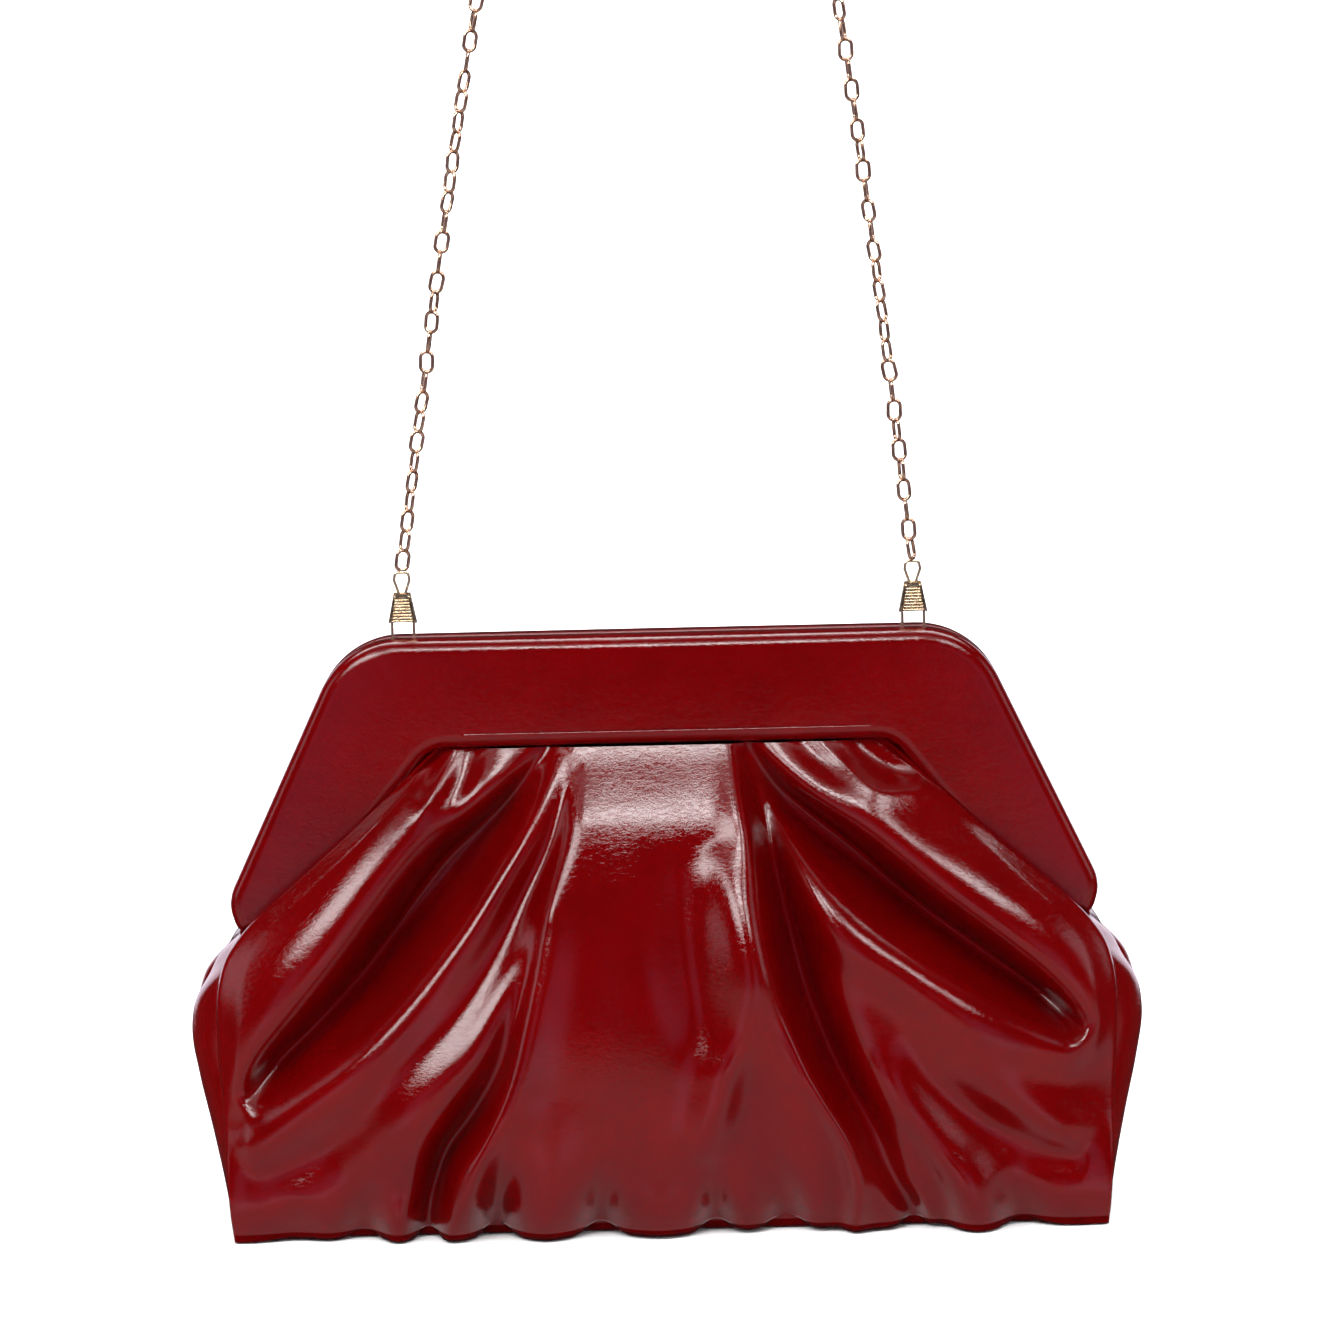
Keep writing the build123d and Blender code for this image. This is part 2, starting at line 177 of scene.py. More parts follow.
def patent_leather(name, deep, bright, wrinkle=0.12):
    """Glossy coated red, with fine creasing that frays the edges of reflections."""
    material, nodes, links, shader = new_material(name)
    coords = object_coords(nodes)
    tone = noise(nodes, links, coords, 45.0, 3.0)
    links.new(ramp(nodes, links, tone, [(0.3, deep), (0.7, bright)]), shader.inputs["Base Color"])
    fine = noise(nodes, links, coords, 520.0, 5.0, 0.62, 1.2, (1.0, 1.0, 1.9))
    broad = noise(nodes, links, coords, 95.0, 3.0, 0.5, 0.6, (1.0, 1.0, 1.6))
    broad_normal = bump(nodes, links, broad, wrinkle * 1.2, 0.0006)
    coat_normal = bump(nodes, links, fine, wrinkle * 2.0, 0.0003, broad_normal)
    links.new(coat_normal, shader.inputs["Coat Normal"])
    links.new(coat_normal, shader.inputs["Normal"])
    shader.inputs["Roughness"].default_value = 0.32
    shader.inputs["Specular IOR Level"].default_value = 0.0
    shader.inputs["Coat Weight"].default_value = 1.0
    shader.inputs["Coat Roughness"].default_value = 0.03
    shader.inputs["Coat IOR"].default_value = 1.43
    return material


def gold_plate(name, colour, dark, roughness=0.16):
    material, nodes, links, shader = new_material(name)
    coords = object_coords(nodes)
    tone = noise(nodes, links, coords, 300.0, 4.0)
    links.new(ramp(nodes, links, tone, [(0.3, dark), (0.65, colour)]), shader.inputs["Base Color"])
    rough = noise(nodes, links, coords, 900.0, 3.0)
    spread = nodes.new("ShaderNodeMapRange")
    spread.inputs["To Min"].default_value = roughness * 0.8
    spread.inputs["To Max"].default_value = roughness * 1.5
    links.new(rough, spread.inputs["Value"])
    links.new(spread.outputs["Result"], shader.inputs["Roughness"])
    links.new(bump(nodes, links, rough, 0.15, 0.00005), shader.inputs["Normal"])
    shader.inputs["Metallic"].default_value = 1.0
    return material


def woven_cloth(name, dark, light, scale=200.0):
    material, nodes, links, shader = new_material(name)
    coords = object_coords(nodes)
    warp = nodes.new("ShaderNodeTexWave")
    warp.inputs["Scale"].default_value = scale
    warp.inputs["Distortion"].default_value = 0.4
    links.new(coords, warp.inputs["Vector"])
    weft = nodes.new("ShaderNodeTexWave")
    weft.bands_direction = "Z"
    weft.inputs["Scale"].default_value = scale
    weft.inputs["Distortion"].default_value = 0.4
    links.new(coords, weft.inputs["Vector"])
    weave = nodes.new("ShaderNodeMath")
    weave.operation = "MULTIPLY"
    links.new(warp.outputs["Fac"], weave.inputs[0])
    links.new(weft.outputs["Fac"], weave.inputs[1])
    thread = ramp(nodes, links, weave.outputs["Value"], [(0.0, dark), (0.8, light)])
    links.new(thread, shader.inputs["Base Color"])
    links.new(bump(nodes, links, weave.outputs["Value"], 0.4, 0.0001), shader.inputs["Normal"])
    shader.inputs["Roughness"].default_value = 0.75
    shader.inputs["Sheen Weight"].default_value = 0.25
    return material


def matte_solid(name, dark, light, roughness, scale=200.0, metallic=0.0):
    material, nodes, links, shader = new_material(name)
    coords = object_coords(nodes)
    grain = noise(nodes, links, coords, scale, 5.0)
    links.new(ramp(nodes, links, grain, [(0.3, dark), (0.7, light)]), shader.inputs["Base Color"])
    links.new(bump(nodes, links, grain, 0.2, 0.0002), shader.inputs["Normal"])
    shader.inputs["Roughness"].default_value = roughness
    shader.inputs["Metallic"].default_value = metallic
    return material


PATENT = patent_leather("patent_red", (0.064, 0.0001, 0.0004), (0.080, 0.0002, 0.0005))
FACING = patent_leather("facing_red", (0.14, 0.0006, 0.001), (0.17, 0.001, 0.0015), 0.2)
GOLD = gold_plate("gold_metal", (0.84, 0.68, 0.48), (0.68, 0.52, 0.34), 0.22)
CHAIN_GOLD = gold_plate("gold_chain", (0.68, 0.44, 0.32), (0.48, 0.28, 0.19), 0.2)
LINING = woven_cloth("lining_cloth", (0.010, 0.008, 0.008), (0.035, 0.028, 0.028))
CARD = matte_solid("board", (0.36, 0.30, 0.22), (0.44, 0.38, 0.30), 0.9)
PLASTIC = matte_solid("core_plastic", (0.03, 0.03, 0.03), (0.05, 0.05, 0.05), 0.6)
FOAM = matte_solid("pad_foam", (0.66, 0.65, 0.60), (0.78, 0.77, 0.72), 0.95, 900.0)
STEEL = matte_solid("hinge_steel", (0.42, 0.42, 0.43), (0.55, 0.55, 0.56), 0.35, 500.0, 1.0)
MAGNET = matte_solid("magnet", (0.40, 0.40, 0.42), (0.48, 0.48, 0.50), 0.3, 500.0, 1.0)
BY_SLOT = {
    "patent_red": PATENT,
    "facing_red": FACING,
    "gold_metal": GOLD,
    "gold_chain": CHAIN_GOLD,
    "lining_cloth": LINING,
    "board": CARD,
    "core_plastic": PLASTIC,
    "pad_foam": FOAM,
    "hinge_steel": STEEL,
    "magnet": MAGNET,
}


def dress_cad_nodes():
    slots = {sub["node"]: sub["material_slot"] for sub in frame["record"]["subparts"]}
    for node, piece in frame["nodes"].items():
        piece.data.materials.clear()
        piece.data.materials.append(BY_SLOT[slots[node]])


dress_cad_nodes()

# ------------------------------------------------------------------ chain strap

CHAIN_ROUTE = [
    (-75.5, 0.0, 194.7),
    (-49.5, 0.0, 372.0),
    (-34.0, 0.0, 406.0),
    (4.5, 0.0, 422.0),
    (43.0, 0.0, 406.0),
    (57.5, 0.0, 372.0),
    (75.5, 0.0, 194.7),
]
LINK_PITCH = 5.9 * MM
LINK_STRAIGHT = 1.15 * MM  # half the straight side of a link
LINK_BEND = 1.83 * MM  # radius of the wire's middle round each end
LINK_WIRE = 0.57 * MM  # radius of the wire
LINK_STEPS = 28
WIRE_STEPS = 10
LINK_SEED = 11
LINK_TURN = 0.3  # radians: how far a link turns from square at random
LINK_LEAN = 0.12  # radians: how far a link leans at random


def route_points(route):
    """Points along the smooth line that the route controls."""
    curve = bpy.data.curves.new("route", "CURVE")
    curve.dimensions = "3D"
    curve.resolution_u = 24
    spline = curve.splines.new("NURBS")
    spline.points.add(len(route) - 1)
    for point, place in zip(spline.points, route):
        point.co = (place[0] * MM, place[1] * MM, place[2] * MM, 1.0)
    spline.order_u = 3
    spline.use_endpoint_u = True
    holder = add_object("route", curve)
    bpy.context.view_layer.update()
    line = bpy.data.meshes.new_from_object(holder)
    points = [vertex.co.copy() for vertex in line.vertices]
    bpy.data.objects.remove(holder)
    return points


def evenly(points, step):
    """Places and directions a step apart along a line."""
    lengths = [0.0]
    for before, after in zip(points, points[1:]):
        lengths.append(lengths[-1] + (after - before).length)
    count = round(lengths[-1] / step)
    places = []
    index = 0
    for number in range(count):
        at = (number + 0.5) * lengths[-1] / count
        while lengths[index + 1] < at:
            index += 1
        share = (at - lengths[index]) / (lengths[index + 1] - lengths[index])
        places.append((
            points[index].lerp(points[index + 1], share),
            (points[index + 1] - points[index]).normalized(),
        ))
    return places


def link_ring():
    """One oval link in its own plane, as rings of points round its wire."""
    rings = []
    for step in range(LINK_STEPS):
        angle = 2 * math.pi * step / LINK_STEPS
        along = LINK_BEND * math.sin(angle) + math.copysign(LINK_STRAIGHT, math.sin(angle))
        across = LINK_BEND * math.cos(angle)
        outward = Vector((math.cos(angle), math.sin(angle), 0.0))
        centre = Vector((across, along, 0.0))
        ring = []
        for turn in range(WIRE_STEPS):
            spin = 2 * math.pi * turn / WIRE_STEPS
            rise = Vector((0, 0, LINK_WIRE * math.sin(spin)))
            ring.append(centre + outward * (LINK_WIRE * math.cos(spin)) + rise)
        rings.append(ring)
    return rings


def make_chain():
    points = route_points(CHAIN_ROUTE)
    shape = link_ring()
    chance = random.Random(LINK_SEED)
    verts = []
    faces = []
    for number, (place, along) in enumerate(evenly(points, LINK_PITCH)):
        turn = (number % 2) * math.pi / 2 + 0.3 + 0.5 * math.sin(0.37 * number)
        turn += chance.uniform(-LINK_TURN, LINK_TURN)
        side = along.cross(Vector((0.0, 1.0, 0.0))).normalized()
        across = Matrix.Rotation(turn, 3, along) @ side
        lean = Matrix.Rotation(chance.uniform(-LINK_LEAN, LINK_LEAN), 3, across.cross(along))
        first = len(verts)
        for ring in shape:
            for spot in ring:
                offset = across * spot.x + along * spot.y + across.cross(along) * spot.z
                verts.append(place + lean @ offset)
        for row in range(LINK_STEPS):
            for column in range(WIRE_STEPS):
                after = (row + 1) % LINK_STEPS
                right = (column + 1) % WIRE_STEPS
                faces.append((
                    first + row * WIRE_STEPS + column,
                    first + row * WIRE_STEPS + right,
                    first + after * WIRE_STEPS + right,
                    first + after * WIRE_STEPS + column,
                ))
    chain = mesh_from("chain_links", verts, faces)
    chain.data.materials.append(CHAIN_GOLD)
    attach(chain, "root")
    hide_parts("chain_strap")


make_chain()

# ------------------------------------------------------------------ padded frame halves

# The right side's corners as (x, z, radius), in millimetres: the bar's outer corner, the foot, the bar's
# inner corner. The left side mirrors them.
FRAME_POINTS = [
    (93.0, 175.0, 26.0),
    (129.5, 98.0, 12.0),
    (126.5, 88.0, 5.0),
    (110.5, 88.0, 5.0),
    (68.0, 142.5, 10.0),
]
HALF_NEAR = 1.0  # a half's inner face, from the middle plane
HALF_FAR = 11.0  # its outer face
HINGE_Z = 93.0
KNUCKLE_RADIUS = 2.5
FOOT_SLOPE = 0.60
FACE_BOW = 2.4
BOW_HALF_WIDTH = 128.0
OUTLINE_STEP = 1.5
EDGE_ROUND = 4.6  # how far in the padded edge's rounding reaches
EDGE_STEPS = 12


def rounded_outline(corners, step):
    """A closed outline with rounded corners, as points about a step apart and their outward normals."""
    points = []
    normals = []
    count = len(corners)
    ends = []
    for index in range(count):
        before = Vector(corners[index - 1][:2])
        at = Vector(corners[index][:2])
        after = Vector(corners[(index + 1) % count][:2])
        radius = corners[index][2]
        incoming = (at - before).normalized()
        outgoing = (after - at).normalized()
        turn = math.acos(max(-1.0, min(1.0, incoming.dot(outgoing))))
        cut = radius * math.tan(turn / 2)
        ends.append((at - incoming * cut, at + outgoing * cut, incoming, outgoing, turn, radius))
    for index in range(count):
        start, end, incoming, outgoing, turn, radius = ends[index]
        left_turn = incoming.x * outgoing.y - incoming.y * outgoing.x
        pieces = max(2, round(radius * turn / step))
        for number in range(pieces + 1):
            angle = turn * number / pieces * (1 if left_turn > 0 else -1)
            heading = Matrix.Rotation(angle, 2) @ incoming
            normal = Vector((heading.y, -heading.x))
            middle = start + Vector((-incoming.y, incoming.x)) * radius * (1 if left_turn > 0 else -1)
            spot = middle + normal * radius * (1 if left_turn > 0 else -1)
            points.append(spot)
            normals.append(normal)
        following = ends[(index + 1) % count][0]
        run = following - end
        pieces = max(1, round(run.length / step))
        for number in range(1, pieces):
            points.append(end + run * (number / pieces))
            normals.append(Vector((outgoing.y, -outgoing.x)))
    return points, normals


def frame_outline():
    """The outline of a frame half, with its outward normals."""
    left = [(-x, z, radius) for x, z, radius in reversed(FRAME_POINTS)]
    return rounded_outline(list(reversed(left + FRAME_POINTS)), OUTLINE_STEP)


def face_bow(x):
    """How far the padding swells the face's middle beyond its ends."""
    return FACE_BOW * (1 - (x / BOW_HALF_WIDTH) ** 2)


def foot_room(z):
    """How far the cover stays from the middle plane by the hinge and below it, so that the feet can turn."""
    knuckle = math.sqrt(max(0.0, KNUCKLE_RADIUS**2 - (z - HINGE_Z) ** 2))
    return max(knuckle, (HINGE_Z - z) * FOOT_SLOPE)


def make_frame_cover(name, facing, body):
    """The padded, wrapped cover of one half: facing is -1 for the front half, +1 for the back."""
    outline, normals = frame_outline()
    profile = [
        (2.2, HALF_NEAR + 0.25),
        (0.35, HALF_NEAR + 0.1),
        (0.05, HALF_NEAR + 0.5),
        (0.0, HALF_NEAR + 1.4),
    ]
    for number in range(EDGE_STEPS + 1):
        angle = math.pi / 2 * number / EDGE_STEPS
        depth = EDGE_ROUND * (1 - math.cos(angle)) ** 0.92
        profile.append((depth, HALF_FAR - 4.4 + 4.3 * math.sin(angle) ** 0.95))
    rows = []
    for depth, out in profile:
        row = []
        for p, n in zip(outline, normals):
            z = p.y - n.y * depth
            bow = face_bow(p.x) * (out - HALF_NEAR) / (HALF_FAR - HALF_NEAR)
            away = max(out + bow, foot_room(z))
            row.append(Vector((p.x - n.x * depth, facing * away, z)))
        rows.append(row)
    points = [Vector((p.x * MM, p.y * MM, p.z * MM)) for row in rows for p in row]
    faces = grid_faces(len(rows), len(outline), wrap=True)
    piece = mesh_from(name, points, faces)
    mesh = bmesh.new()
    mesh.from_mesh(piece.data)
    mesh.verts.ensure_lookup_table()
    first = (len(rows) - 1) * len(outline)
    rim = [mesh.verts[first + index] for index in range(len(outline))]
    edges = []
    for index, vertex in enumerate(rim):
        following = rim[(index + 1) % len(rim)]
        edges.append(mesh.edges.get((vertex, following)))
    bmesh.ops.triangle_fill(mesh, edges=edges, use_beauty=True)
    bmesh.ops.recalc_face_normals(mesh, faces=mesh.faces)
    mesh.to_mesh(piece.data)
    mesh.free()
    piece.data.polygons.foreach_set("use_smooth", [True] * len(piece.data.polygons))
    piece.data.materials.append(PATENT)
    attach(piece, body)
    return piece


front_cover = make_frame_cover("front_frame_wrap", -1.0, "front_frame")
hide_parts("front_frame_cover")
back_cover = make_frame_cover("back_frame_wrap", 1.0, "root")
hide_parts("back_frame_cover")

# ------------------------------------------------------------------ gathered panels

# Half depth of the bag at heights, in millimetres.
DEPTH_Z = [-8.0, 0.0, 6.0, 20.0, 40.0, 55.0, 70.0, 85.0, 100.0, 118.0, 130.0, 142.6]
DEPTH_Y = [31.0, 34.5, 37.5, 40.6, 41.6, 41.0, 39.0, 35.8, 31.2, 24.2, 18.4, 11.2]
# Half width of the front as seen, at heights.
EDGE_Z = [-8.0, 0.0, 20.0, 40.0, 60.0, 76.0, 84.0, 92.0, 104.0, 120.0, 142.6]
EDGE_X = [128.0, 128.5, 130.0, 131.3, 132.4, 131.6, 129.0, 123.0, 109.5, 91.0, 67.0]
# Half width over the gussets, at heights.
SIDE_Z = [0.0, 14.0, 30.0, 47.0, 62.0, 71.0, 80.0, 89.0]
SIDE_X = [128.0, 131.0, 135.0, 139.0, 140.8, 138.6, 133.0, 124.5]

# Strokes: a kind, how much wider the right side is than the left, and a line of
# (x, z, height, half width) in millimetres. Height stands out of the surface;
# below zero it cuts a valley.
FRONT_STROKES = [
    # outer left ridge, from the frame's corner down to the side
    ("round", 0.9, [
        (-67, 134, 3, 6), (-81, 116, 6, 10), (-89, 102, 7, 13), (-100, 87, 7, 14),
        (-111, 72, 7, 13), (-121, 57, 6, 9), (-126, 44, 4, 6), (-127, 34, 0, 5),
    ]),
    # deep left valley
    ("deep", 1.2, [
        (-34, 141, -4, 3), (-49.5, 122, -10, 6), (-63, 108, -14, 8), (-75, 94, -16, 8.5),
        (-89, 77, -15, 8), (-102, 64, -12, 7), (-114, 53, -9, 5.5), (-121, 45, -4, 4), (-124, 41, 0, 3),
    ]),
    # second ridge, ending in a rounded tip
    ("round", 1.1, [
        (-29, 138, 1, 3), (-37, 121, 4, 5), (-46, 106, 6, 6), (-55.5, 90, 8, 7), (-69, 73, 9, 8),
        (-83, 59, 9, 8), (-97, 46, 8, 8), (-111, 36.5, 7, 7), (-122, 29.5, 5, 5), (-127, 25.5, 0, 4),
    ]),
    # valley under the second ridge
    ("soft", 1.0, [
        (-26.5, 137, -3, 3), (-33, 116, -7, 5), (-42, 100, -8, 6), (-52, 84, -8, 7), (-64, 69, -6, 8),
        (-77, 55, -5, 7), (-91, 40, -4, 7), (-104, 28, -4, 7), (-118, 21, -2, 6),
    ]),
    # lower left bulge
    ("soft", 1.0, [(-44, 73, 1, 6), (-58, 57, 4, 10), (-75, 41, 6, 12), (-86, 29, 3, 9), (-92, 20, 0, 8)]),
    # valley left of the sharp crease
    ("deep", 0.8, [
        (-36, 92, -1, 4), (-43, 70, -4, 5), (-49, 52, -6, 5.5), (-57, 38, -8, 6), (-65, 27, -9, 5),
        (-69, 16, -8, 4.5), (-71, 4, -6, 5), (-71, -4, -5, 5),
    ]),
    # sharp crease from the frame down to the hem
    ("sharp", 1.8, [
        (-26, 140, 2, 3), (-28, 122, 4, 4), (-32, 104, 5, 4.5), (-36.5, 86, 6, 5), (-41.5, 67, 7, 5.5),
        (-47, 48, 7.5, 6), (-53.5, 30, 7, 6), (-60, 14, 6, 5.5), (-65, 2, 5, 5.5), (-67, -5, 4, 5),
    ]),
    # hem pleats left of the middle
    ("soft", 1.0, [(-44, 38, 0, 4), (-49, 22, -5, 5), (-51, 8, -9, 5), (-52, -5, -10, 5)]),
    ("soft", 1.0, [(-32, 44, 0, 8), (-34, 24, 3, 8), (-36, 7, 5, 7), (-37, -4, 5, 7)]),
    ("soft", 1.0, [(-18, 26, 0, 4), (-20, 10, -6, 5), (-21, -4, -8, 5)]),
    ("soft", 1.0, [(-2, 20, 0, 6), (-3, 8, 3, 8), (-3, -4, 4, 8)]),
    ("soft", 1.0, [(14, 26, 0, 4), (13, 12, -5, 4), (13, -4, -8, 5)]),
    # broad middle
    ("soft", 1.0, [(-3, 140, 3, 22), (-4, 110, 4, 26), (-5, 80, 4, 28), (-5, 50, 3, 28), (-4, 25, 2, 24)]),
    ("soft", 1.2, [(4, 116, 0, 6), (6, 98, -3.5, 8), (8, 80, -4, 8), (12, 64, -3, 8), (14, 52, 0, 8)]),
    ("soft", 0.8, [
        (15, 116, 0, 7), (20, 99, 6, 10), (23, 82, 8, 11), (20.5, 64, 7, 9), (15.5, 46, 6, 7),
        (11, 32, 4.5, 6), (9, 22, 0, 5),
    ]),
    ("soft", 1.0, [(24, 60, 0, 5), (24, 44, -2.5, 6), (28, 24, -4, 6), (33, 8, -7, 6), (34, -4, -9, 6)]),
    # sharp right crease
    ("sharp", 0.55, [
        (20.5, 141, 3, 6), (24.5, 121, 6, 7), (27.5, 104, 7, 8), (30.5, 86, 8, 9), (33.5, 69, 8, 9),
        (39, 54, 8, 9), (45, 41, 8, 8), (51, 29, 7, 7), (54.5, 16, 6, 6), (54, 2, 5, 6), (53, -5, 4, 6),
    ]),
    # valley right of it
    ("deep", 1.3, [
        (24.5, 140, -4, 3), (31, 114, -9, 5), (35, 92, -11, 6), (40, 72, -11, 6), (47.5, 52, -10, 5.5),
        (54, 39, -8, 4.5), (60, 28, -7, 4), (67, 14, -6, 4), (71, 2, -5, 4), (72, -5, -4, 4),
    ]),
    # ridge between the two right valleys
    ("round", 1.0, [
        (31, 118, 2, 4), (42, 103, 6, 6), (54, 90, 8, 7.5), (69, 80, 8.5, 8), (84, 70, 8, 8),
        (101, 61, 7, 8), (115, 53.5, 5, 6), (123, 50, 0, 5),
    ]),
    # deep right valley
    ("deep", 0.9, [
        (27, 140, -5, 3), (39, 123, -12, 6), (57, 108, -15, 8), (76, 92, -15, 8), (94, 79, -13, 7),
        (109, 68, -11, 5.5), (118, 60.5, -6, 4), (122, 57, 0, 3),
    ]),
    # outer right ridge, curling round the valley's end
    ("round", 1.0, [
        (33, 141, 3, 4), (45, 131, 5, 6), (59, 120, 7, 8), (74.5, 108, 8, 10), (91, 98, 8, 11),
        (106, 88, 8, 10), (118, 76, 7, 8), (124, 62, 5, 5.5), (121.5, 53, 3, 4), (116, 48, 0, 4),
    ]),
    # lower right pocket
    ("soft", 0.8, [
        (68, 60, 0, 5), (77, 46, -3, 7), (89, 34, -5, 8), (103, 26, -5, 7), (115, 21.5, -4, 5),
        (122, 19, 0, 4),
    ]),
    ("soft", 1.2, [(76, 66, 1, 6), (88, 54, 4, 8), (102, 41, 5, 8), (114, 30, 4, 7), (121, 24, 0, 5)]),
    ("soft", 1.0, [(60, 56, 0, 6), (66, 46, 3, 6), (76, 30, 4, 7), (86, 16, 4, 8), (92, 0, 3, 8)]),
    # narrow creases at the lower right
    ("sharp", 1.0, [(51, 43, 0, 2.5), (57, 33, 2.5, 3), (64, 22, 4, 3.5), (71, 11, 4, 3.5), (76, 2, 3, 4)]),
    ("soft", 1.0, [(66, 37, 0, 3), (71, 27, -3, 3.5), (76, 17, -4, 3.5), (79, 6, -4, 4), (80, -4, -4, 4)]),
    ("soft", 1.0, [
        (37, 48, 0, 2.5), (42, 38, -2.5, 3), (47, 28, -3.5, 3.5), (49.5, 16, -4, 4), (49, 2, -4, 4),
    ]),
    ("soft", 1.0, [(96, 20, 0, 6), (101, 8, -5, 7), (103, -4, -7, 7)]),
    ("round", 1.0, [(84, 26, 0, 5), (89, 10, 4, 6), (91, -4, 5, 6)]),
    # hem pleats at the lower left
    ("soft", 1.0, [(-86, 20, 0, 5), (-89, 8, -5, 6), (-91, -4, -7, 6)]),
    ("soft", 1.0, [(-79, 16, 0, 5), (-80, 5, 4, 5), (-80, -4, 4, 5)]),
    ("soft", 1.0, [(-108, 14, 0, 8), (-110, 4, -3, 8), (-111, -4, -3, 8)]),
    # short gathers under the bar
    ("sharp", 1.0, [(-61, 142, 2.5, 2.5), (-64, 136, 3, 3), (-68, 129, 2.5, 3), (-73, 121, 0, 3)]),
    ("soft", 1.0, [(-65, 142, -3, 2.5), (-69, 136, -3, 2.5), (-74, 129, 0, 3)]),
    ("soft", 1.0, [(-56, 142, -4, 3), (-59, 133, -3, 3), (-65, 124, 0, 4)]),
    ("round", 1.0, [(-47, 142, 3, 4), (-50, 134, 4, 5), (-56, 124, 2, 6), (-62, 116, 0, 7)]),
    ("soft", 1.0, [(41, 142, -3, 3), (47, 137, -3, 3), (55, 131, 0, 4)]),
    ("sharp", 1.0, [(47, 142, 3, 3), (54, 136, 4, 3.5), (63, 129, 4, 4), (73, 128, 3, 4), (80, 127, 0, 4)]),
    ("soft", 1.0, [(57, 142, -3, 2.5), (63, 137, -4, 3), (70, 133, -3, 3), (77, 133, 0, 3)]),
]
# For each kind: the fall-off's power, and how much higher and wider it is made.
KINDS = {
    "round": (2.4, 0.72, 1.18),
    "soft": (2.0, 0.95, 1.05),
    "deep": (1.7, 1.75, 0.86),
    "sharp": (1.3, 0.95, 1.0),
}


def smooth_line(points, count):
    """Points along a Catmull-Rom line through rows of numbers."""
    rows = np.array(points, float)
    padded = np.vstack([2 * rows[0] - rows[1], rows, 2 * rows[-1] - rows[-2]])
    spots = []
    for index in range(len(rows) - 1):
        a, b, c, d = padded[index:index + 4]
        for number in range(count):
            t = number / count
            spots.append(0.5 * (
                2 * b + (c - a) * t + (2 * a - 5 * b + 4 * c - d) * t * t + (3 * b - a - 3 * c + d) * t**3
            ))
    spots.append(rows[-1])
    return np.array(spots)


def stroke_height(x, z, kind, lean, points):
    """The stroke's height over a field of x and z."""
    power, taller, wider = KINDS[kind]
    line = smooth_line(points, 10) * (1.0, 1.0, taller, wider)
    reach = 3.0 * line[:, 3].max() * max(1.0, lean)
    near = (x > line[:, 0].min() - reach) & (x < line[:, 0].max() + reach)
    near &= (z > line[:, 1].min() - reach) & (z < line[:, 1].max() + reach)
    xs = x[near]
    zs = z[near]
    best = np.full(xs.shape, 1e9)
    value = np.zeros(xs.shape)
    for a, b in zip(line[:-1], line[1:]):
        run_x = b[0] - a[0]
        run_z = b[1] - a[1]
        share = ((xs - a[0]) * run_x + (zs - a[1]) * run_z) / (run_x**2 + run_z**2)
        share = np.clip(share, 0.0, 1.0)
        gap_x = xs - a[0] - share * run_x
        gap_z = zs - a[1] - share * run_z
        right = smoothstep(-1.0, 1.0, (gap_z * run_x - gap_x * run_z) / math.hypot(run_x, run_z))
        height = a[2] + (b[2] - a[2]) * share
        width = (a[3] + (b[3] - a[3]) * share) * (lean + (1 - lean) * (1 - right))
        scaled = np.hypot(gap_x, gap_z) / width
        closer = scaled < best
        best = np.where(closer, scaled, best)
        value = np.where(closer, height, value)
    field = np.zeros(x.shape)
    field[near] = value * np.exp(-np.power(best, power))
    return field


def curve_at(z, xs, ys):
    """A smooth curve through points, with the slopes of its neighbours."""
    xs = np.array(xs)
    ys = np.array(ys)
    slopes = np.gradient(ys, xs)
    index = np.clip(np.searchsorted(xs, z) - 1, 0, len(xs) - 2)
    span = xs[index + 1] - xs[index]
    t = np.clip((z - xs[index]) / span, 0.0, 1.0)
    return (
        (2 * t**3 - 3 * t**2 + 1) * ys[index] + (t**3 - 2 * t**2 + t) * span * slopes[index]
        + (3 * t**2 - 2 * t**3) * ys[index + 1] + (t**3 - t**2) * span * slopes[index + 1]
    )


def blur(field, cells):
    """The field softened over about so many cells each way."""
    reach = int(3 * cells) + 1
    kernel = np.exp(-0.5 * (np.arange(-reach, reach + 1) / cells) ** 2)
    kernel /= kernel.sum()
    for axis in (0, 1):
        padded = np.pad(field, [(reach, reach) if axis == a else (0, 0) for a in (0, 1)], mode="edge")
        field = np.apply_along_axis(lambda line: np.convolve(line, kernel, mode="valid"), axis, padded)
    return field


def edge_share(z):
    """How far forward the panel's side edges stand, as a share of its depth."""
    return 0.60 + 0.32 * smoothstep(45.0, 4.0, z)


PANEL_COLUMNS = 400
PANEL_ROWS = 215
PANEL_TOP = 142.4
FRAME_FACE = 11.15
FOLD_BLUR = 2.0  # cells
CREASE_BLUR = 1.3
DEEPEST_SHARE = 0.20  # no valley cuts deeper than this share of the bag's half depth
DEEPEST_SOFT = 1.6  # and it eases into that limit over about so many millimetres
ARM_TOP_X = 68.0  # the arm's inner edge at its top, and how far out it goes for each millimetre down
ARM_TOP_Z = 142.5
ARM_SLOPE = 0.78
OVER_FRAME = 12.6
HEM_STEPS = 6
HEM_ROLL_IN = 2.8
HEM_ROLL_DOWN = 1.8
HEM_TAIL = 4.0


